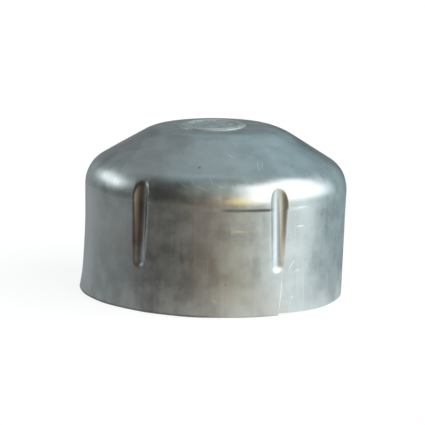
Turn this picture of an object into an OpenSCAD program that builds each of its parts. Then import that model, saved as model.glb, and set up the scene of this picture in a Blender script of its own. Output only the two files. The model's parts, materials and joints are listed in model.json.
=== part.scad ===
// Pressed sheet-metal cap for a round fence post: a coned top with a rounded shoulder, a short
// skirt with pressed grip flutes, and a small stamped disc fixed to the crown.
// +Z is up and the origin is the centre of the open rim, so the cap stands on z = 0.

/* [Post] */
// Outside diameter of the round post that the cap is pushed on to
post_d = 60.3; // [56:0.1:66]
// How far the flutes' crests reach inside the post's own radius at its top, so that they grip it
grip = 0.15; // [0:0.05:0.4]
// Height at which the top of the post stops against the shoulder
post_stop_z = 30; // [29:0.1:31]

/* [Sheet] */
// Thickness of the sheet
sheet_t = 0.9; // [0.6:0.1:1.2]
// Height of the flat crown above the rim
cap_h = 41.4; // [39:0.1:46]

/* [Crown] */
// Radius of the flat crown
crown_r = 9.2; // [8:0.1:11]
// Slope of the coned top, in degrees below the level
cone_slope = 31; // [28:1:35]
// Outside radius that blends the crown into the cone
crown_bend = 18; // [12:0.5:20]
// Outside radius of the shoulder's bend
shoulder_bend = 8; // [6:0.1:9]

/* [Skirt] */
// Height of the crease left under the shoulder when the skirt was drawn
crease_z = 25.2; // [23:0.1:26]
// How far the skirt is set in below the crease
crease_step = 0.25; // [0.1:0.05:0.5]
// Height of the skirt's narrowest place
waist_z = 14.5; // [13:0.1:18]
// How much the skirt opens from its waist to the crease
waist_taper = 0.05; // [0.02:0.01:0.15]
// Top of the straight collar inside the mouth
collar_top_z = 9.6; // [8:0.1:9.8]
// Bottom of the straight collar, where the rim's flare begins
collar_low_z = 4; // [2:0.1:4.5]
// How much wider the collar is than the waist
collar_ease = 0.2; // [0.1:0.05:0.4]
// How far the rim flares out beyond the collar
rim_flare = 0.8; // [0.3:0.05:1.2]

/* [Flutes] */
// Number of grip flutes, evenly spaced
flute_count = 6; // [3:1:12]
// How far a flute's crest stands in from the skirt's inner wall, at the top of the post
flute_depth = 1.2; // [1:0.1:1.6]
// Radius of a flute's groove, seen from outside
flute_r = 2.7; // [2.2:0.1:3]
// How far the flutes lean in towards their tops, in degrees, which leads the post in
flute_lean = 2.5; // [0:0.5:2.5]
// Height of the centre of a flute's rounded foot
flute_foot_z = 12.1; // [12.1:0.1:15]
// Angle of the first flute about the axis, from the cap's front towards its right
flute_turn = 28; // [-30:1:30]

/* [Crown disc] */
// Radius of the disc
disc_r = 8.3; // [7:0.1:8.5]
// Thickness of the disc's plate
disc_t = 0.3; // [0.2:0.05:0.8]
// Width of the bead that runs round the disc's edge
bead_w = 1.3; // [0.8:0.1:2]
// How far the bead stands above the plate
bead_h = 0.2; // [0.1:0.05:0.4]
// Place of the disc's centre across the crown
disc_x = -1.4; // [-2:0.1:2]
// Place of the disc's centre along the crown
disc_y = -0.4; // [-2:0.1:2]

/* [Hidden] */
$fn = 96;

steel = [0.60, 0.63, 0.63];
disc_metal = [0.66, 0.69, 0.69];

// Degrees between the points of an arc, and the steps in the rim's flare
arc_step = 4;
flare_steps = 4;
// How far a cutting body runs past the face that it cuts
over = 1;
// Direction of the cap's front, and the angle from the turned surfaces' seam to the first flute
front_angle = -90;
seam_gap = 19;

crest_r = post_d / 2 - grip;
waist_r = crest_r + flute_depth + sheet_t;
skirt_top_r = waist_r + waist_taper;
shoulder_r = skirt_top_r + crease_step;
collar_r = waist_r + collar_ease;
// The crease's slope is twice as high as it is wide
crease_h = 2 * crease_step;
// A groove and its rib share one leaning axis: its radius at the top of the post, and its length
// from there down to the foot
flute_axis_r = crest_r + flute_r + sheet_t;
flute_length = (post_stop_z - flute_foot_z) / cos(flute_lean);

// Radius of the bead's rounded top, from its width and height
bead_arc_r = (pow(bead_w / 2, 2) + pow(bead_h, 2)) / (2 * bead_h);

// Centre of the crown's blend, and of the shoulder's bend which the cone runs down to
crown_c = [crown_r, cap_h - crown_bend];
cone_top = crown_c + crown_bend * [sin(cone_slope), cos(cone_slope)];
shoulder_x = shoulder_r - shoulder_bend;
cone_foot_r = shoulder_x + shoulder_bend * sin(cone_slope);
cone_foot_z = cone_top[1] - (cone_foot_r - cone_top[0]) * tan(cone_slope);
shoulder_c = [shoulder_x, cone_foot_z - shoulder_bend * cos(cone_slope)];

// Points of an arc about c from angle a to angle b, both measured from the radial direction
function arc(c, r, a, b) =
    let (n = ceil((b - a) / arc_step))
    [for (i = [0 : n]) c + r * [cos(a + (b - a) * i / n), sin(a + (b - a) * i / n)]];

// Outer radius of the flared rim at a share s of the way up to the collar
function flare_r(s) = collar_r + rim_flare * pow(1 - s, 2);

// Half-outline of the cap, set in by t from its outside: [radius, height] from rim to crown
function wall_line(t) = concat(
    [for (i = [0 : flare_steps - 1]) [flare_r(i / flare_steps) - t, collar_low_z * i / flare_steps]],
    [
        [collar_r - t, collar_low_z],
        [collar_r - t, collar_top_z],
        [waist_r - t, waist_z],
        [skirt_top_r - t, crease_z],
        [shoulder_r - t, crease_z + crease_h]
    ],
    arc(shoulder_c, shoulder_bend - t, 0, 90 - cone_slope),
    arc(crown_c, crown_bend - t, 90 - cone_slope, 90)
);

module cap_body() {
    rotate_extrude()
        polygon(concat([[0, 0]], wall_line(0), [[0, cap_h]]));
}

module cap_hollow() {
    rotate_extrude()
        polygon(concat(
            [[0, -over], [flare_r(0) - sheet_t, -over]],
            wall_line(sheet_t),
            [[0, cap_h - sheet_t]]
        ));
}

// A round-nosed bar down each flute's line, from above the shoulder to the flute's foot
module flute_bars(r) {
    for (i = [0 : flute_count - 1])
        rotate(seam_gap + i * 360 / flute_count)
            translate([flute_axis_r, 0, post_stop_z])
                rotate([0, -flute_lean, 0])
                    translate([0, 0, -flute_length]) {
                        cylinder(r = r, h = cap_h - flute_foot_z);
                        sphere(r = r);
                    }
}

// The one-piece cap. Its hollow leaves the flutes' ribs standing, and the grooves follow the ribs.
// It is turned as a whole, so that the seam of its turned surfaces stays between two flutes.
module pressed_shell() {
    color(steel)
        rotate(front_angle + flute_turn - seam_gap)
            difference() {
                cap_body();
                difference() {
                    cap_hollow();
                    flute_bars(flute_r + sheet_t);
                }
                flute_bars(flute_r);
            }
}

// The stamped disc on the crown: a thin plate with a rounded bead round its edge
module crown_disc() {
    color(disc_metal)
        translate([disc_x, disc_y, cap_h])
            rotate_extrude()
                union() {
                    square([disc_r, disc_t]);
                    intersection() {
                        translate([disc_r - bead_w / 2, disc_t + bead_h - bead_arc_r])
                            circle(r = bead_arc_r);
                        translate([disc_r - bead_w, disc_t])
                            square([bead_w, bead_h]);
                    }
                }
}

pressed_shell();
crown_disc();
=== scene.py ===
import json
import math
from collections import namedtuple

import bpy
import numpy as np
from mathutils import Matrix, Vector


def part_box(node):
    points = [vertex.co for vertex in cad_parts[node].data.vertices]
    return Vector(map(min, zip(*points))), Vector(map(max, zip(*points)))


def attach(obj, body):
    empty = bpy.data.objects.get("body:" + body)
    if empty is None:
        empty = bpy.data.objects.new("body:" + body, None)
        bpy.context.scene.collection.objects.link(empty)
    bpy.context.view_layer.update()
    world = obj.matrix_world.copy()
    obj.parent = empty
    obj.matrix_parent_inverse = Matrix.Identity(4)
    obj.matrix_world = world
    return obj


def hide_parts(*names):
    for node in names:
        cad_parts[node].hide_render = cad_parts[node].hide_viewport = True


# A pressed-metal post cap, drawn as a used sample on its CAD frame. The named lengths below are in
# millimetres and the angles in degrees. Azimuth runs from the front (-Y) towards the right (+X).
MM = 0.001
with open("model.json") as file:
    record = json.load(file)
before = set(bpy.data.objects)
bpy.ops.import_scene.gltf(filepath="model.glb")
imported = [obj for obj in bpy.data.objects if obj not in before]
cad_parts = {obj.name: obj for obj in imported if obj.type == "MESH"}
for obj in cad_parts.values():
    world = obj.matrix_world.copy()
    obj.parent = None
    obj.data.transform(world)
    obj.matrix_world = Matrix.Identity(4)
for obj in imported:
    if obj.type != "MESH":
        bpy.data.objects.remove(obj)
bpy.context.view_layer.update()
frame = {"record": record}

# ------------------------------------------------------------------ sizes taken from the frame
shell_high = np.array(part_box("pressed_shell")[1]) / MM
disc_low, disc_high = [np.array(corner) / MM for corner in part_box("crown_disc")]
socket = next(m for m in frame["record"]["mounts"] if m["name"] == "post_socket")

CAP_H = shell_high[2]
SHEET_T = 0.9
COLLAR_R = socket["dims"]["r_mm"] + SHEET_T
DISC_R = (disc_high[0] - disc_low[0]) / 2
DISC_X, DISC_Y = (disc_low[:2] + disc_high[:2]) / 2

# ------------------------------------------------------------------ the cap's half-outline
SHOULDER_R = COLLAR_R
SHOULDER_BEND = 8.0
WAIST_R = SHOULDER_R - 0.3
CONE_SLOPE = math.radians(31)
CROWN_R = 9.2
CROWN_BEND = 18.0
# The skirt steps out at a crease. The step is sharp at the front right, within CREASE_SOFT of the
# crease. Elsewhere it is gentle and starts CREASE_FADE below. A greater CREASE_REACH keeps the
# sharp stretch shorter.
CREASE_Z = 25.3
CREASE_STEP = 0.2
CREASE_SOFT = 0.5
CREASE_FADE = 9.0
CREASE_SHARP_AT = 22
CREASE_REACH = 40

# The cone runs tangent from the shoulder's bend to the bend that blends it into the crown.
CROWN_C = np.array([CROWN_R, CAP_H - CROWN_BEND])
CONE_TOP = CROWN_C + CROWN_BEND * np.array([math.sin(CONE_SLOPE), math.cos(CONE_SLOPE)])
SHOULDER_X = SHOULDER_R - SHOULDER_BEND
CONE_FOOT_R = SHOULDER_X + SHOULDER_BEND * math.sin(CONE_SLOPE)
CONE_FOOT_Z = CONE_TOP[1] - (CONE_FOOT_R - CONE_TOP[0]) * math.tan(CONE_SLOPE)
CONE_FOOT = np.array([CONE_FOOT_R, CONE_FOOT_Z])
SHOULDER_C = np.array([SHOULDER_X, CONE_FOOT_Z - SHOULDER_BEND * math.cos(CONE_SLOPE)])

# ------------------------------------------------------------------ flutes
# The two front flutes were pressed a little off their places, the left one with a narrower groove.
FLUTES = [27.5, 88, 148, 208, 268, 327.3]
FLUTE_RADII = [2.8, 2.7, 2.7, 2.7, 2.7, 2.25]
# A groove's depth at its top, how far it leans out below that, and the rounding of its lips
FLUTE_DEPTH = 1.05
FLUTE_LEAN = math.radians(2.3)
FLUTE_LIP = 0.35
FLUTE_TOP_Z = 30.0
FLUTE_FOOT_Z = 12.1


def smoothstep(low, high, x):
    """0 below low, 1 above high, and smooth between."""
    t = np.clip((x - low) / (high - low), 0, 1)
    return t * t * (3 - 2 * t)


def soft_min(a, b, width):
    """The lesser of two surfaces, with the corner where they meet rounded over width."""
    t = np.clip(0.5 + 0.5 * (b - a) / width, 0, 1)
    return b * (1 - t) + a * t - width * t * (1 - t)


def turn_from(azimuth, centre):
    """Signed angle from centre to azimuth, within half a turn."""
    return (azimuth - centre + 180) % 360 - 180


def facing(azimuth, centre):
    """1 at the centre azimuth, falling to 0 on the far side of the cap."""
    return (1 + np.cos(np.radians(azimuth - centre))) / 2


# ------------------------------------------------------------------ unevenness of the real metal
# How many plane waves make up a patch of unevenness
WAVES = 6


def waves(points, length, seed):
    """Smooth unevenness about -1 to 1: a sum of plane waves in random directions."""
    rng = np.random.default_rng(seed)
    total = np.zeros(points.shape[:-1])
    for _ in range(WAVES):
        direction = rng.normal(size=3)
        direction /= np.linalg.norm(direction)
        wave_length = length * rng.uniform(0.6, 1.6)
        phase = rng.uniform(0, 2 * math.pi)
        total += np.sin(points @ direction * 2 * math.pi / wave_length + phase)
    return total / math.sqrt(WAVES)


# Dents: azimuth, height, half-width round the cap, half-height, depth
DENTS = [
    (9.5, 20.8, 2.6, 0.40, 0.10),
    (-13.0, 29.5, 1.2, 0.5, 0.06),
    (-6.0, 28.8, 0.7, 0.7, 0.05),
    (3.0, 28.2, 0.9, 0.4, 0.05),
    (30.5, 7.0, 0.5, 2.6, 0.06),
    (45.0, 19.0, 1.6, 2.2, 0.05),
    (75.0, 17.0, 3.0, 2.0, 0.07),
    (-5.0, 17.0, 3.0, 3.0, 0.04),
    (-48.0, 8.0, 3.0, 2.5, 0.05),
    (130.0, 28.5, 1.6, 0.6, 0.08),
    (190.0, 12.0, 2.2, 1.4, 0.08),
    (215.0, 29.0, 1.0, 0.5, 0.07),
    (250.0, 20.0, 1.5, 2.5, 0.05),
]


def dent_depth(azimuth, z, radius):
    """How far the dents push the sheet in."""
    depth = np.zeros(z.shape)
    for centre, height, half_width, half_height, amount in DENTS:
        across = np.radians(turn_from(azimuth, centre)) * radius / half_width
        up = (z - height) / half_height
        depth += amount * np.exp(-(across ** 2 + up ** 2))
    return depth


# The mouth is spread on the left, from well up the skirt, and drawn in a little on the right
SPREAD, SPREAD_Z, SPREAD_AT = 0.65, 18.0, -90
DRAWN_IN = 0.25
# Its rim curls out over a short stretch. A greater CURL_NARROW makes that stretch shorter.
CURL, CURL_Z, CURL_AT, CURL_NARROW = 0.5, 7.0, -80, 6


def mouth_spread(azimuth, z):
    """How far the skirt's lower part stands out beyond the waist."""
    oval = (1 + DRAWN_IN) * facing(azimuth, SPREAD_AT) - DRAWN_IN
    spread = SPREAD * np.clip(1 - z / SPREAD_Z, 0, 1) ** 1.5 * oval
    curl = CURL * np.clip(1 - z / CURL_Z, 0, 1) ** 2 * facing(azimuth, CURL_AT) ** CURL_NARROW
    return spread + curl


# The rim was trimmed out of true, with a nick that starts sharply and runs out to the right
RIM_UP = 0.16
RIM_LEAN, RIM_LOWEST_AT = 0.12, -40
NICK_START, NICK_EDGE, NICK_LENGTH, NICK_DEPTH = 28.9, 0.25, 26.0, 0.55
RIM_BLEND = 6.0
# Ripples of the trimmed edge: size, how many go round, and where they start
RIM_RIPPLES = [(0.03, 7, 0), (0.02, 17, 40)]


def rim_cut(azimuth):
    """Height of the trimmed edge above the plane that the cap stands on."""
    lean = RIM_LEAN * (1 - facing(azimuth, RIM_LOWEST_AT))
    past = turn_from(azimuth, NICK_START)
    run_out = 1 - smoothstep(0, NICK_LENGTH, past)
    nick = NICK_DEPTH * smoothstep(-NICK_EDGE, NICK_EDGE, past) * run_out
    ripple = sum(
        size * np.sin(np.radians(count * azimuth + start)) for size, count, start in RIM_RIPPLES)
    return RIM_UP + lean + nick + ripple


# The crown isn't level: it rises to the right and falls to the front. This dies out down the cone,
# over LEAN_R, and below the crown, over LEAN_Z.
CROWN_LEAN = math.radians(1.9)
CROWN_DIP = math.radians(1.8)
LEAN_R, LEAN_Z = (9.5, 17.0), (33, 36)
# The cone swells a little, and the crown sags a little under its disc
CONE_SWELL, SWELL_R, SWELL_Z = 0.12, (7, 15), (28, 33)
CROWN_SAG = 0.25
# Unevenness of the sheet: size, wave length and seed. It dies out within AXIS_R of the axis.
UNEVEN = [(0.016, 17, 5), (0.004, 6, 6)]
AXIS_R = 3


def crown_lean(points):
    """How far the crown's lean lifts points that lie on it. The crown's back edge stays put."""
    return math.tan(CROWN_LEAN) * points[..., 0] + math.tan(CROWN_DIP) * (points[..., 1] - CROWN_R)


# ------------------------------------------------------------------ mesh helpers
def make_mesh(name, vertices, faces, material):
    """A smooth-shaded mesh object from vertices in millimetres."""
    mesh = bpy.data.meshes.new(name)
    mesh.from_pydata((vertices * MM).tolist(), [], faces)
    mesh.validate()
    mesh.polygons.foreach_set("use_smooth", [True] * len(mesh.polygons))
    mesh.materials.append(material)
    piece = bpy.data.objects.new(name, mesh)
    bpy.context.scene.collection.objects.link(piece)
    return piece


def bridge(start_a, count_a, start_b, count_b):
    """Faces between one closed ring and the next, which has as many points, or half or twice."""
    if count_a == count_b:
        return [
            (start_a + i, start_a + (i + 1) % count_a, start_b + (i + 1) % count_b, start_b + i)
            for i in range(count_a)
        ]
    narrowing = count_a > count_b
    fine, fine_count = (start_a, count_a) if narrowing else (start_b, count_b)
    few, few_count = (start_b, count_b) if narrowing else (start_a, count_a)
    faces = []
    for i in range(few_count):
        f0, f1, f2 = fine + 2 * i, fine + 2 * i + 1, fine + (2 * i + 2) % fine_count
        c0, c1 = few + i, few + (i + 1) % few_count
        faces += [(f0, f1, c0), (f1, c1, c0), (f1, f2, c1)]
    return faces if narrowing else [face[::-1] for face in faces]


def ring_mesh(name, rings, first_pole, last_pole, material):
    """A closed mesh from rings of points, with a point closing each end."""
    starts = np.cumsum([0] + [len(ring) for ring in rings]).tolist()
    counts = [len(ring) for ring in rings]
    faces = []
    for k in range(len(rings) - 1):
        faces += bridge(starts[k], counts[k], starts[k + 1], counts[k + 1])
    first, last = starts[-1], starts[-1] + 1
    faces += [(first, (i + 1) % counts[0], i) for i in range(counts[0])]
    end, count = starts[-2], counts[-1]
    faces += [(last, end + i, end + (i + 1) % count) for i in range(count)]
    return make_mesh(name, np.concatenate(rings + [[first_pole, last_pole]]), faces, material)


# ------------------------------------------------------------------ the pressed shell
# Columns of the mesh over each flute, within FINE_HALF of it, and from one flute to the next
FINE_HALF, FINE_COLUMNS, WIDE_COLUMNS = 6.4, 32, 32


def column_azimuths():
    """Azimuths of the mesh's columns, closer together over each flute."""
    columns = []
    for flute, following in zip(FLUTES, FLUTES[1:] + [FLUTES[0] + 360]):
        low, high = flute - FINE_HALF, flute + FINE_HALF
        columns.append(np.linspace(low, high, FINE_COLUMNS, endpoint=False))
        columns.append(np.linspace(high, following - FINE_HALF, WIDE_COLUMNS, endpoint=False))
    return np.concatenate(columns)


def half_outline(skirt, crease, bend, cone, blend, crown):
    """Points up the outside from the rim to the axis, as [radius, height] rows. The arguments
    are the number of steps in each part."""
    crease_low, crease_high = CREASE_Z - 2 * CREASE_SOFT, SHOULDER_C[1]
    z = np.concatenate([
        np.linspace(0, crease_low, skirt, endpoint=False),
        np.linspace(crease_low, crease_high, crease, endpoint=False),
    ])
    step = smoothstep(CREASE_Z - CREASE_SOFT, CREASE_Z + CREASE_SOFT, z)
    wall = np.stack([SHOULDER_R - CREASE_STEP * (1 - step), z], 1)
    steep = math.pi / 2 - CONE_SLOPE
    angle = np.linspace(0, steep, bend, endpoint=False)
    shoulder = SHOULDER_C + SHOULDER_BEND * np.stack([np.cos(angle), np.sin(angle)], 1)
    share = np.linspace(0, 1, cone, endpoint=False)[:, None]
    slope = CONE_FOOT + share * (CONE_TOP - CONE_FOOT)
    angle = np.linspace(steep, math.pi / 2, blend, endpoint=False)
    top_bend = CROWN_C + CROWN_BEND * np.stack([np.cos(angle), np.sin(angle)], 1)
    flat = np.stack([np.linspace(CROWN_R, 0, crown + 1), np.full(crown + 1, CAP_H)], 1)
    return np.concatenate([wall, shoulder, slope, top_bend, flat])


def outward(line):
    """Unit normals of a half-outline, pointing away from the cap's inside."""
    along = np.gradient(line, axis=0)
    normal = np.stack([along[:, 1], -along[:, 0]], 1)
    return normal / np.linalg.norm(normal, axis=1)[:, None]


def press_flutes(radius, z, azimuth, inset):
    """Radius of a wall, inset from the outside, after leaning round-nosed bars are pressed in."""
    for flute, groove_r in zip(FLUTES, FLUTE_RADII):
        bar_r = groove_r + inset
        turn = np.radians(turn_from(azimuth, flute))
        top_r = WAIST_R - FLUTE_DEPTH + groove_r
        axis_r = top_r + (FLUTE_TOP_Z - np.maximum(z, FLUTE_FOOT_Z)) * math.tan(FLUTE_LEAN)
        below = np.clip(FLUTE_FOOT_Z - z, 0, None)
        room = bar_r ** 2 - below ** 2 - (axis_r * np.sin(turn)) ** 2
        under_bar = (room > 0) & (np.cos(turn) > 0)
        groove = axis_r * np.cos(turn) - np.sqrt(np.where(under_bar, room, 0))
        radius = np.where(under_bar, soft_min(radius, groove, FLUTE_LIP), radius)
    return radius


def sheet_face(line, normal, inset, azimuth):
    """One face of the sheet as an array [ring, column, xyz], set in from the half-outline."""
    radius = (line - inset * normal)[:, :1] + 0 * azimuth
    z = (line - inset * normal)[:, 1:] + 0 * azimuth
    z = z + rim_cut(azimuth) * np.clip(1 - z / RIM_BLEND, 0, 1)
    softened = CREASE_STEP * (1 - facing(azimuth, CREASE_SHARP_AT) ** CREASE_REACH)
    sharp = smoothstep(CREASE_Z - CREASE_SOFT, CREASE_Z + CREASE_SOFT, z)
    gentle = smoothstep(CREASE_Z - CREASE_FADE, CREASE_Z + CREASE_FADE / 2, z)
    radius = radius - softened * (sharp - gentle)
    radius = radius + mouth_spread(azimuth, z)
    radius = press_flutes(radius, z, azimuth, inset)
    out_x, out_y = np.sin(np.radians(azimuth)), -np.cos(np.radians(azimuth))
    points = np.stack([radius * out_x, radius * out_y, z], -1)
    away = np.stack([normal[:, :1] * out_x, normal[:, :1] * out_y, normal[:, 1:] + 0 * azimuth], -1)
    swell = CONE_SWELL * smoothstep(*SWELL_Z, z) * smoothstep(*SWELL_R, radius)
    uneven = sum(size * waves(points, length, seed) for size, length, seed in UNEVEN)
    push = (uneven + swell - dent_depth(azimuth, z, radius)) * smoothstep(0, AXIS_R, radius)
    points = points + away * push[..., None]
    on_crown = (1 - smoothstep(*LEAN_R, radius)) * smoothstep(*LEAN_Z, z)
    points[..., 2] += (crown_lean(points) - CROWN_SAG) * on_crown
    return points


# Columns crowd together towards the axis: a ring wider than each radius keeps one in so many
COLUMN_STRIDES = [(17, 1), (8, 2), (3.5, 4)]
AXIS_STRIDE = 8


def column_stride(ring):
    """Step between the columns that a ring keeps."""
    reach = np.hypot(ring[:, 0], ring[:, 1]).min()
    return next((stride for radius, stride in COLUMN_STRIDES if reach > radius), AXIS_STRIDE)


# The rim's worn edge, from the wall's face towards the middle of the sheet: how far down and how
# far in
WORN_EDGE = [(0.06, 0.03), (0.12, 0.14)]


def pressed_shell(material):
    """The one-piece cap: an inner and an outer face joined by the trimmed, worn rim edge."""
    azimuth = column_azimuths()
    outer_line = half_outline(skirt=62, crease=10, bend=26, cone=20, blend=16, crown=12)
    inner_line = half_outline(skirt=38, crease=5, bend=12, cone=10, blend=10, crown=8)
    outer = sheet_face(outer_line, outward(outer_line), 0, azimuth)
    inner = sheet_face(inner_line, outward(inner_line), SHEET_T, azimuth)
    radians = np.radians(azimuth)
    out = np.stack([np.sin(radians), -np.cos(radians), 0 * radians], -1)
    up = np.array([0, 0, 1.0])
    edge = [inner[0] - low * up + aside * out for low, aside in WORN_EDGE]
    edge += [outer[0] - low * up - aside * out for low, aside in reversed(WORN_EDGE)]
    rings = list(inner[-2::-1]) + edge + list(outer[:-1])
    rings = [ring[::column_stride(ring)] for ring in rings]
    return ring_mesh("pressed_shell_drawn", rings, inner[-1][0], outer[-1][0], material)


# ------------------------------------------------------------------ the crown disc
DISC_PLATE = 0.12
DISC_COLUMNS = 144
# A rounded bead runs round the disc inside its edge
BEAD_R, BEAD_HALF, BEAD_H = 7.1, 1.15, 0.38
FIELD_RINGS = np.linspace(0.3, 6.4, 26)
BEAD_RINGS = np.linspace(6.5, DISC_R - 0.1, 20)
# A plain lozenge-shaped pad stands in the middle, turned a little and with soft edges
PAD_H, PAD_LONG, PAD_WIDE, PAD_TURN = 0.16, 5.2, 3.2, 0.4
PAD_EDGE = (0.7, 1.15)
# Wear of the plate inside the bead: size, wave length, seed, and where it dies out
WEAR, WEAR_LENGTH, WEAR_SEED, WEAR_R = 0.03, 4.5, 3, (7, 8)
# Radius and height of the rings round the disc's edge, from the top down
DISC_EDGE = [(DISC_R - 0.04, 0.1), (DISC_R, 0.02), (DISC_R - 0.06, -0.06)]


def crown_disc(material):
    """The stamped disc: a worn plate with a rounded bead round its edge and a plain low pad."""
    azimuth = np.linspace(0, 2 * math.pi, DISC_COLUMNS, endpoint=False)
    r, a = np.meshgrid(np.concatenate([FIELD_RINGS, BEAD_RINGS]), azimuth, indexing="ij")
    x, y = r * np.sin(a), -r * np.cos(a)
    points = np.stack([x, y, 0 * x], -1)
    bead = BEAD_H * np.clip(1 - ((r - BEAD_R) / BEAD_HALF) ** 2, 0, 1)
    along = x * math.cos(PAD_TURN) + y * math.sin(PAD_TURN)
    across = y * math.cos(PAD_TURN) - x * math.sin(PAD_TURN)
    off_pad = np.abs(along) / PAD_LONG + np.abs(across) / PAD_WIDE
    pad = PAD_H * (1 - smoothstep(*PAD_EDGE, off_pad))
    wear = WEAR * waves(points, WEAR_LENGTH, WEAR_SEED) * (1 - smoothstep(*WEAR_R, r))
    points[..., 2] = DISC_PLATE + bead + pad + wear
    rings = list(points)
    for edge_r, edge_z in DISC_EDGE:
        flat = np.stack([edge_r * np.sin(azimuth), -edge_r * np.cos(azimuth), 0 * azimuth], -1)
        rings.append(flat + np.array([0, 0, edge_z]))
    rings = [ring + np.array([DISC_X, DISC_Y, CAP_H - CROWN_SAG]) for ring in rings[::-1]]
    for ring in rings:
        ring[:, 2] += crown_lean(ring)
    return ring_mesh("crown_disc_stamped", rings, rings[0].mean(0), rings[-1].mean(0), material)


# ------------------------------------------------------------------ node trees
# Where a Mix node keeps its colour inputs and its colour output
MIX_FIRST, MIX_SECOND, MIX_RESULT = 6, 7, 2


class Graph:
    """Shorthand for building a node tree. Inputs may be sockets, numbers or colours."""

    def __init__(self, tree):
        self.tree = tree

    def feed(self, socket, value):
        if isinstance(value, bpy.types.NodeSocket):
            self.tree.links.new(value, socket)
        else:
            socket.default_value = value

    def node(self, kind, **settings):
        made = self.tree.nodes.new(kind)
        for key, value in settings.items():
            setattr(made, key, value)
        return made

    def math(self, operation, *values):
        made = self.node("ShaderNodeMath", operation=operation)
        for socket, value in zip(made.inputs, values):
            self.feed(socket, value)
        return made.outputs[0]

    def add(self, *values):
        total = values[0]
        for value in values[1:]:
            total = self.math("ADD", total, value)
        return total

    def multiply(self, *values):
        product = values[0]
        for value in values[1:]:
            product = self.math("MULTIPLY", product, value)
        return product

    def off(self, value, middle):
        """How far a value is from the middle, either way."""
        return self.math("ABSOLUTE", self.math("SUBTRACT", value, middle))

    def vector(self, operation, *values):
        made = self.node("ShaderNodeVectorMath", operation=operation)
        for socket, value in zip(made.inputs, values):
            self.feed(socket, value)
        return made.outputs[0]

    def scale(self, vector, factor):
        made = self.node("ShaderNodeVectorMath", operation="SCALE")
        self.feed(made.inputs[0], vector)
        self.feed(made.inputs["Scale"], factor)
        return made.outputs[0]

    def split(self, vector):
        made = self.node("ShaderNodeSeparateXYZ")
        self.feed(made.inputs[0], vector)
        return made.outputs

    def bearing(self, x, y, azimuth):
        """How far (x, y) lies to the right of an azimuth's line, and how far out along it."""
        cos, sin = math.cos(azimuth), math.sin(azimuth)
        right = self.math("MULTIPLY_ADD", x, cos, self.math("MULTIPLY", y, sin))
        out = self.math("MULTIPLY_ADD", x, sin, self.math("MULTIPLY", y, -cos))
        return right, out

    def ramp(self, x, low, high, at_low=0.0, at_high=1.0):
        """at_low up to low and at_high from high on, smooth between. low may be the greater."""
        made = self.node("ShaderNodeMapRange", interpolation_type="SMOOTHSTEP")
        for name, value in (("Value", x), ("From Min", low), ("From Max", high),
                            ("To Min", at_low), ("To Max", at_high)):
            self.feed(made.inputs[name], value)
        return made.outputs["Result"]

    def noise(self, vector, scale, detail, roughness):
        made = self.node("ShaderNodeTexNoise")
        for name, value in (("Vector", vector), ("Scale", scale), ("Detail", detail),
                            ("Roughness", roughness)):
            self.feed(made.inputs[name], value)
        return made.outputs["Fac"]

    def dots(self, vector, density, edge, core, channel, left_out):
        """1 at the core of scattered dots, 0 past their edge. A share of them is left out, by a
        channel of their random colour."""
        made = self.node("ShaderNodeTexVoronoi")
        self.feed(made.inputs["Vector"], vector)
        self.feed(made.inputs["Scale"], density)
        pick = self.node("ShaderNodeSeparateColor")
        self.feed(pick.inputs[0], made.outputs["Color"])
        kept = self.math("GREATER_THAN", pick.outputs[channel], left_out)
        return self.multiply(self.ramp(made.outputs["Distance"], edge, core), kept)

    def mix(self, share, first, second):
        made = self.node("ShaderNodeMix", data_type="RGBA")
        self.feed(made.inputs["Factor"], share)
        self.feed(made.inputs[MIX_FIRST], first)
        self.feed(made.inputs[MIX_SECOND], second)
        return made.outputs[MIX_RESULT]

    def paint(self, tone, colour, *masks, strength):
        """A tone with a colour laid over it, as strongly as given, where all the masks are 1."""
        return self.mix(self.multiply(*masks, strength), tone, colour)


# Tints of grey: of the zinc, of dirt, stains and painted shade, of the painted brown reflection in a
# flute, and of the disc's metal
COOL = (0.935, 1.0, 1.0)
WARM = (1.06, 1.0, 0.90)
BROWN_REFLECTION = (1.35, 1.0, 0.85)
PLAIN = (0.99, 1.0, 0.97)


def grey(level, tint=(1.0, 1.0, 1.0)):
    """A tinted grey as a colour with its alpha."""
    return tuple(level * part for part in tint) + (1.0,)


def start_metal(name):
    """A new material, its graph, its shader, and the shaded point in millimetres."""
    material = bpy.data.materials.new(name)
    material.use_nodes = True
    g = Graph(material.node_tree)
    place = g.scale(g.node("ShaderNodeTexCoord").outputs["Object"], 1 / MM)
    return material, g, material.node_tree.nodes["Principled BSDF"], place


def lay_relief(g, shader, height):
    """Bump the shader's surface by a height in millimetres."""
    bump = g.node("ShaderNodeBump")
    bump.inputs["Distance"].default_value = MM
    g.feed(bump.inputs["Height"], height)
    g.feed(shader.inputs["Normal"], bump.outputs[0])


# ------------------------------------------------------------------ marks, painted shade and painted highlights on the sheet
# From here to the studio, a pair of values says where a mark ends and where it is at full strength.
# Light scratches and painted highlights: azimuth, height, half-length, half-width, and lean from the
# upright in degrees
SCRATCHES_AND_FLUTE_HIGHLIGHTS = [
    (-13.5, 30.4, 1.5, 0.13, -62),
    (-10.0, 31.3, 1.1, 0.10, -48),
    (-6.0, 30.2, 1.5, 0.12, -70),
    (-2.0, 31.6, 1.0, 0.10, -40),
    (2.0, 30.6, 0.8, 0.10, -66),
    (22.0, 34.6, 1.0, 0.10, 25),
    (25.0, 34.9, 0.8, 0.10, 40),
    (34.5, 12.0, 1.6, 0.16, 36),
    (38.5, 21.0, 1.3, 0.22, 90),
    (39.0, 25.5, 1.5, 0.14, 90),
    (29.5, 5.0, 4.2, 0.12, 4),
    (-49.0, 33.0, 1.2, 0.12, -30),
    (8.0, 36.5, 0.9, 0.12, -60),
    # The last three are painted highlights along the front flutes' walls and lips, not scratches
    (-30.9, 21.0, 12.0, 0.45, 1),
    (26.1, 20.5, 12.0, 0.85, -1.5),
    (29.6, 20.0, 11.0, 0.55, -2),
]
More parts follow.
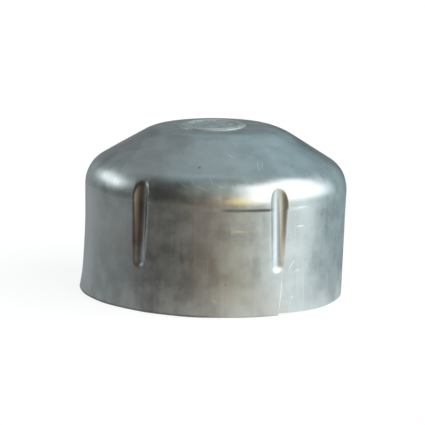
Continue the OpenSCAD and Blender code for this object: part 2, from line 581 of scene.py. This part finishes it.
# Painted dark reflections, in the same terms: a dark patch on the front left of the shoulder, and the
# dark right wall of the right front flute
PAINTED_DARK_REFLECTIONS = [
    (-20.5, 28.9, 5.2, 2.6, 86),
    (28.1, 20.5, 10.5, 0.50, -1.5),
]
# Shares of its half-length and half-width at which a straight mark is at full strength
MARK_BODY, MARK_CORE = 0.5, 0.4


def strokes(g, x, y, z, places):
    """1 on straight marks and 0 elsewhere, from a point's place in millimetres."""
    total = 0.0
    for azimuth, height, half_length, half_width, lean in places:
        right, out = g.bearing(x, y, math.radians(azimuth))
        above = g.math("SUBTRACT", z, height)
        cos, sin = math.cos(math.radians(lean)), math.sin(math.radians(lean))
        along = g.math("MULTIPLY_ADD", right, sin, g.multiply(above, cos))
        across = g.math("MULTIPLY_ADD", right, cos, g.multiply(above, -sin))
        body = g.ramp(g.math("ABSOLUTE", along), half_length, MARK_BODY * half_length)
        core = g.ramp(g.math("ABSOLUTE", across), half_width, MARK_CORE * half_width)
        mark = g.multiply(body, core, g.math("GREATER_THAN", out, 0.0))
        total = g.math("MAXIMUM", total, mark)
    return total


# A painted dark brown reflection on the left wall of one flute: its left and right sides, seen along
# the flute's azimuth, and its foot and top
DARK_FLUTE = math.radians(FLUTES[-1])
DARK_WALL_LEFT, DARK_WALL_RIGHT = (-2.5, -2.0), (0.9, 0.3)
DARK_WALL_FOOT, DARK_WALL_TOP = (13.0, 17.0), (31.5, 29.5)


def flute_dark_reflection(g, x, y, z):
    """1 on the left wall of the flute that gets the painted dark brown reflection."""
    right, out = g.bearing(x, y, DARK_FLUTE)
    wall = g.multiply(g.ramp(right, *DARK_WALL_LEFT), g.ramp(right, *DARK_WALL_RIGHT))
    height = g.multiply(g.ramp(z, *DARK_WALL_FOOT), g.ramp(z, *DARK_WALL_TOP))
    return g.multiply(wall, height, g.math("GREATER_THAN", out, 0.0))


# Painted shade in the crease: its half-height, the azimuth where most of it lies, the cosine of the
# turn from there, and its strength past that turn and within it
CREASE_SHADE_HALF = (0.55, 0.15)
CREASE_SHADE_AT = math.radians(14)
CREASE_SHADE_TURN = (0.972, 0.99)
CREASE_SHADE = (0.05, 0.75)


def crease_shade(g, out_x, out_y, z):
    """Strength of the shade painted into the crease, most of it at the front right."""
    in_crease = g.ramp(g.off(z, CREASE_Z), *CREASE_SHADE_HALF)
    _, towards = g.bearing(out_x, out_y, CREASE_SHADE_AT)
    return g.multiply(in_crease, g.ramp(towards, *CREASE_SHADE_TURN, *CREASE_SHADE))


# A painted shadow darkens the trimmed edge on the left half: its height, and x as a share of the
# radius
RIM_SHADOW_Z, RIM_SHADOW_X = (0.7, 0.3), (0.15, -0.15)

# Flecks are short scratches along two directions: turn and stretch of the pattern, dots per
# millimetre, and brightness
FLECKS = [
    ((0.0, 0.5, 0.7), (3.2, 0.5, 0.5), 0.30, 0.86),
    ((0.6, -0.3, -0.5), (0.5, 3.4, 0.5), 0.26, 0.84),
]


def lay_flecks(g, place, tone):
    """The tone with both sets of flecks over it."""
    for turn, stretch, density, level in FLECKS:
        rotate = g.node("ShaderNodeVectorRotate", rotation_type="EULER_XYZ")
        g.feed(rotate.inputs["Vector"], place)
        g.feed(rotate.inputs["Rotation"], turn)
        stretched = g.vector("MULTIPLY", rotate.outputs[0], stretch)
        flecks = g.dots(stretched, density, edge=0.11, core=0.05, channel=0, left_out=0.62)
        tone = g.paint(tone, grey(level, COOL), flecks, strength=0.45)
    return tone


# ------------------------------------------------------------------ materials
# Drawing marks: how far their pattern moves on for a millimetre up the wall, against a whole radius
# round it, and the height where they end
STREAK_RISE = 0.0022
STREAKS_END = (31.0, 26.0)
# Offset of the clouds' pattern from that of the stains
CLOUD_OFFSET = (31.0, 7.0, 12.0)
# White bloom lies on the zinc towards the mouth: its height, how much it roughens the zinc and how
# much it hides of it
BLOOM_Z = (9.0, 0.5)
BLOOM_ROUGH, BLOOM_COVER = 0.14, 0.13
# How much rougher the streaks and the pits are
STREAK_ROUGH, PIT_ROUGH = 0.12, 0.15
# Relief of the sheet's marks in millimetres
STREAK_RELIEF, BROAD_RELIEF, PEEL_RELIEF, CLOUD_RELIEF, PIT_DEPTH = 0.010, 0.014, 0.008, 0.012, 0.02


def sheet_metal(name):
    """Zinc-coated drawn sheet: vertical drawing marks, orange peel, stains, specks, scratches, with
    painted shade, shadow, highlights and dark reflections laid into its colour.
    """
    material, g, shader, place = start_metal(name)
    x, y, z = g.split(place)
    reach = g.math("MAXIMUM", g.math("SQRT", g.add(g.multiply(x, x), g.multiply(y, y))), 1.0)
    out_x, out_y = g.math("DIVIDE", x, reach), g.math("DIVIDE", y, reach)

    # Drawing marks: fine round the cap and long up the wall
    wrap = g.node("ShaderNodeCombineXYZ")
    for socket, value in zip(wrap.inputs, (out_x, out_y, g.multiply(z, STREAK_RISE))):
        g.feed(socket, value)
    streaks = g.noise(wrap.outputs[0], scale=50.0, detail=2.5, roughness=0.6)
    broad_streaks = g.noise(wrap.outputs[0], scale=14.0, detail=2.0, roughness=0.5)
    on_skirt = g.ramp(z, *STREAKS_END)

    stains = g.noise(place, scale=0.09, detail=3.0, roughness=0.55)
    clouds = g.noise(g.vector("ADD", place, CLOUD_OFFSET), scale=0.21, detail=3.0, roughness=0.6)
    peel = g.noise(place, scale=0.9, detail=2.0, roughness=0.5)
    pits = g.dots(place, density=0.16, edge=0.085, core=0.045, channel=1, left_out=0.72)
    # Where the painted shadow lies along the trimmed edge
    rim_shadow = g.multiply(g.ramp(z, *RIM_SHADOW_Z), g.ramp(out_x, *RIM_SHADOW_X))

    tone = g.mix(g.ramp(clouds, low=0.32, high=0.68), grey(0.55, COOL), grey(0.63, COOL))
    tone = g.paint(tone, grey(0.50, WARM), g.ramp(stains, low=0.5, high=0.72), strength=0.4)
    bright_streaks = g.ramp(streaks, low=0.5, high=0.8)
    tone = g.paint(tone, grey(0.74, COOL), bright_streaks, on_skirt, strength=0.35)
    # Painted shade: the crease is darkened in the colour
    tone = g.mix(crease_shade(g, out_x, out_y, z), tone, grey(0.15, WARM))
    tone = lay_flecks(g, place, tone)
    # Painted dark reflections on the shoulder and in the right front flute
    tone = g.paint(tone, grey(0.30, COOL), strokes(g, x, y, z, PAINTED_DARK_REFLECTIONS), strength=0.5)
    # Light scratches, with the painted highlights along the front flutes
    tone = g.paint(tone, grey(0.95, COOL), strokes(g, x, y, z, SCRATCHES_AND_FLUTE_HIGHLIGHTS), strength=0.65)
    # Painted dark brown reflection on the left front flute's wall
    tone = g.paint(tone, grey(0.15, BROWN_REFLECTION), flute_dark_reflection(g, x, y, z), strength=0.7)
    # Painted shadow along the left half of the trimmed edge
    tone = g.paint(tone, grey(0.15, WARM), rim_shadow, strength=0.7)
    tone = g.paint(tone, grey(0.22, WARM), pits, strength=0.6)

    cloudy = g.ramp(clouds, low=0.25, high=0.6, at_low=0.6, at_high=1.0)
    bloom = g.multiply(g.ramp(z, *BLOOM_Z), cloudy)
    rough = g.add(
        g.ramp(clouds, low=0.3, high=0.7, at_low=0.27, at_high=0.37),
        g.multiply(g.math("SUBTRACT", streaks, 0.5), STREAK_ROUGH),
        g.multiply(pits, PIT_ROUGH),
        g.multiply(bloom, BLOOM_ROUGH),
    )

    lay_relief(g, shader, g.add(
        g.multiply(streaks, on_skirt, STREAK_RELIEF),
        g.multiply(broad_streaks, on_skirt, BROAD_RELIEF),
        g.multiply(peel, PEEL_RELIEF),
        g.multiply(clouds, CLOUD_RELIEF),
        g.multiply(pits, -PIT_DEPTH),
    ))
    g.feed(shader.inputs["Metallic"], g.math("MULTIPLY_ADD", bloom, -BLOOM_COVER, 1.0))
    g.feed(shader.inputs["Base Color"], tone)
    g.feed(shader.inputs["Roughness"], rough)
    return material


# The bead is burnished: how far from its crest, and how much smoother that makes it
BURNISHED = (1.0, 0.5)
BURNISH = 0.16
SCUFF_RELIEF, GRAIN_RELIEF = 0.05, 0.008


def stamped_metal(name):
    """Brighter stamped metal with a burnished, scuffed relief."""
    material, g, shader, place = start_metal(name)
    scuffs = g.noise(place, scale=0.8, detail=4.0, roughness=0.65)
    grain = g.noise(place, scale=2.5, detail=2.0, roughness=0.5)
    from_centre = g.vector("SUBTRACT", place, (DISC_X, DISC_Y, CAP_H))
    length = g.node("ShaderNodeVectorMath", operation="LENGTH")
    g.feed(length.inputs[0], g.vector("MULTIPLY", from_centre, (1.0, 1.0, 0.0)))
    on_bead = g.ramp(g.off(length.outputs["Value"], BEAD_R), *BURNISHED)

    tone = g.mix(g.ramp(scuffs, low=0.35, high=0.65), grey(0.54, PLAIN), grey(0.74, PLAIN))
    tone = g.mix(on_bead, tone, grey(0.88, PLAIN))
    rough = g.ramp(scuffs, low=0.3, high=0.7, at_low=0.38, at_high=0.52)
    rough = g.math("SUBTRACT", rough, g.multiply(on_bead, BURNISH))
    lay_relief(g, shader, g.add(g.multiply(scuffs, SCUFF_RELIEF), g.multiply(grain, GRAIN_RELIEF)))
    g.feed(shader.inputs["Base Color"], tone)
    g.feed(shader.inputs["Roughness"], rough)
    shader.inputs["Metallic"].default_value = 1.0
    return material


# ------------------------------------------------------------------ the studio round the cap
Panel = namedtuple("Panel", "name azimuth half_width side_fade low high up_fade colour strength")
# Soft panels of light, in degrees. One with a half-width of 180 goes all the way round.
PANELS = [
    Panel("room", 0, 180, 1, -95, 95, 3, (1.0, 1.0, 0.88), 0.05),
    Panel("window", 71.5, 41.5, 9, 6, 58, 6, (0.98, 1.0, 1.01), 2.1),
    Panel("window_low", 71, 20, 12, -30, 6, 8, (0.93, 1.0, 1.01), 0.94),
    Panel("lamp_behind", -112, 16, 8, 13, 29, 5, (0.97, 1.0, 1.03), 2.1),
    Panel("wall_left", -112, 36, 14, -25, 60, 14, (0.85, 1.0, 1.0), 0.13),
    Panel("wall_behind", 180, 75, 30, 24, 100, 12, (0.93, 1.0, 1.08), 0.21),
    Panel("ceiling", 0, 180, 1, 66, 100, 10, (0.78, 1.0, 1.07), 0.36),
    Panel("wall_right", 152, 30, 20, 24, 62, 12, (0.55, 1.0, 1.13), 0.29),
    Panel("table_right", 118, 45, 25, -95, -18, 7, (0.95, 1.0, 1.02), 1.2),
    Panel("table_front", -20, 60, 30, -95, -20, 11, (1.10, 1.0, 0.93), 0.44),
    Panel("table_left", -140, 60, 30, -95, -12, 8, (1.05, 1.0, 1.08), 0.30),
    Panel("warm_strip", 21, 8, 7, 2, 20, 5, (1.55, 1.0, 0.14), 0.95),
    Panel("front_right", 33, 17, 12, -30, 30, 10, (0.96, 1.0, 0.93), 0.42),
    Panel("low_right", 125, 30, 15, -16, 24, 10, (0.72, 1.0, 1.10), 0.42),
    Panel("low_behind", -160, 25, 15, -16, 18, 8, (0.92, 1.0, 1.08), 0.22),
    Panel("front_warm", -5, 14, 8, -25, 25, 8, (1.3, 0.92, 0.72), 0.13),
    Panel("front_high", 5, 35, 15, 30, 68, 12, (0.88, 1.0, 0.94), 0.33),
]
# A little over 1, so that the level part of a direction isn't 0 straight up or down
OVER_ONE = 1.0001


def panel_share(g, east, north, up, panel):
    """1 in the directions that the panel fills, and 0 past its faded edges."""
    elevation = g.math("ARCSINE", up)
    low, high, fade = panel.low, panel.high, panel.up_fade
    bottom = g.ramp(elevation, math.radians(low - fade), math.radians(low + fade))
    top = g.ramp(elevation, math.radians(high + fade), math.radians(high - fade))
    if panel.half_width == 180:
        return g.multiply(bottom, top)
    level = g.math("SQRT", g.math("SUBTRACT", OVER_ONE, g.multiply(up, up)))
    _, towards = g.bearing(east, north, math.radians(panel.azimuth))
    full = math.radians(max(panel.half_width - panel.side_fade, 0))
    gone = math.radians(min(panel.half_width + panel.side_fade, 180))
    sides = g.ramp(g.math("DIVIDE", towards, level), math.cos(gone), math.cos(full))
    return g.multiply(sides, bottom, top)


def make_world():
    """A dim room with soft panels of light round the cap."""
    world = bpy.data.worlds.new("studio")
    bpy.context.scene.world = world
    world.use_nodes = True
    world.node_tree.nodes.clear()
    g = Graph(world.node_tree)
    east, north, up = g.split(g.node("ShaderNodeTexCoord").outputs["Generated"])
    total = (0.0, 0.0, 0.0)
    for panel in PANELS:
        glow = tuple(panel.strength * part for part in panel.colour)
        total = g.vector("ADD", total, g.scale(glow, panel_share(g, east, north, up, panel)))
    back = g.node("ShaderNodeBackground")
    g.feed(back.inputs["Color"], total)
    g.feed(g.node("ShaderNodeOutputWorld").inputs["Surface"], back.outputs[0])


# The floor and the backdrop are in metres
FLOOR_HALF, FLOOR_BASE, FLOOR_GLOW = 6.0, 0.25, 0.85
BACKDROP_R, BACKDROP_H, BACKDROP_GLOW = 1.6, 3.0, 1.0
BACKDROP_SIDES = 64


def stage_piece(name, corners, faces, base, glow):
    """A pale piece of the set. The panels' light passes it, and the cap doesn't mirror it."""
    mesh = bpy.data.meshes.new(name)
    mesh.from_pydata(corners, [], faces)
    piece = bpy.data.objects.new(name, mesh)
    bpy.context.scene.collection.objects.link(piece)
    material = bpy.data.materials.new(name + "_paint")
    material.use_nodes = True
    shader = material.node_tree.nodes["Principled BSDF"]
    shader.inputs["Base Color"].default_value = grey(base)
    shader.inputs["Roughness"].default_value = 0.9
    shader.inputs["Specular IOR Level"].default_value = 0.0
    shader.inputs["Emission Color"].default_value = grey(1.0)
    shader.inputs["Emission Strength"].default_value = glow
    mesh.materials.append(material)
    piece.visible_glossy = False
    piece.visible_shadow = False
    return piece


def make_floor():
    """A plain white floor, lit mostly by its own glow so that shadows on it stay faint."""
    corners = [(-FLOOR_HALF, -FLOOR_HALF, 0), (FLOOR_HALF, -FLOOR_HALF, 0),
               (FLOOR_HALF, FLOOR_HALF, 0), (-FLOOR_HALF, FLOOR_HALF, 0)]
    stage_piece("floor", corners, [(0, 1, 2, 3)], FLOOR_BASE, FLOOR_GLOW)


def make_backdrop():
    """A white wall far round the cap, which only low views of the cap reach."""
    turns = [2 * math.pi * k / BACKDROP_SIDES for k in range(BACKDROP_SIDES)]
    corners = [
        (BACKDROP_R * math.sin(turn), BACKDROP_R * math.cos(turn), z)
        for z in (0, BACKDROP_H)
        for turn in turns
    ]
    faces = [
        (k, following, BACKDROP_SIDES + following, BACKDROP_SIDES + k)
        for k, following in enumerate([*range(1, BACKDROP_SIDES), 0])
    ]
    backdrop = stage_piece("backdrop", corners, faces, 0.0, BACKDROP_GLOW)
    backdrop.visible_diffuse = False


# ------------------------------------------------------------------ the camera
CAMERA_UP = math.radians(9.95)
CAMERA_DISTANCE = 418.6
CAMERA_ROLL = math.radians(1.74)
CAMERA_SENSOR = 36.0
CAMERA_LENS = 143.07
CAMERA_NEAREST = 10
AIM_Z = 20.93
SHIFT_X, SHIFT_Y = -0.0068, -0.0176


def make_camera():
    """A long lens that looks a little down on the front of the cap."""
    data = bpy.data.cameras.new("camera")
    data.sensor_width = CAMERA_SENSOR
    data.lens = CAMERA_LENS
    data.shift_x = SHIFT_X
    data.shift_y = SHIFT_Y
    data.clip_start = CAMERA_NEAREST * MM
    camera = bpy.data.objects.new("camera", data)
    bpy.context.scene.collection.objects.link(camera)
    towards = Vector((0, -math.cos(CAMERA_UP), math.sin(CAMERA_UP)))
    place = Vector((0, 0, AIM_Z * MM)) + towards * CAMERA_DISTANCE * MM
    look = (-towards).to_track_quat("-Z", "Y").to_matrix().to_4x4()
    roll = Matrix.Rotation(CAMERA_ROLL, 4, "Z")
    camera.matrix_world = Matrix.Translation(place) @ look @ roll
    bpy.context.scene.camera = camera


# ------------------------------------------------------------------ the scene
bpy.context.scene.view_settings.view_transform = "Standard"
make_camera()
make_world()
make_floor()
make_backdrop()

shell = pressed_shell(sheet_metal("zinc_sheet"))
disc = crown_disc(stamped_metal("disc_metal"))
for piece, node, slot in ((shell, "pressed_shell", "zinc_sheet"), (disc, "crown_disc", "disc_metal")):
    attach(piece, "root")
    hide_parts(node)
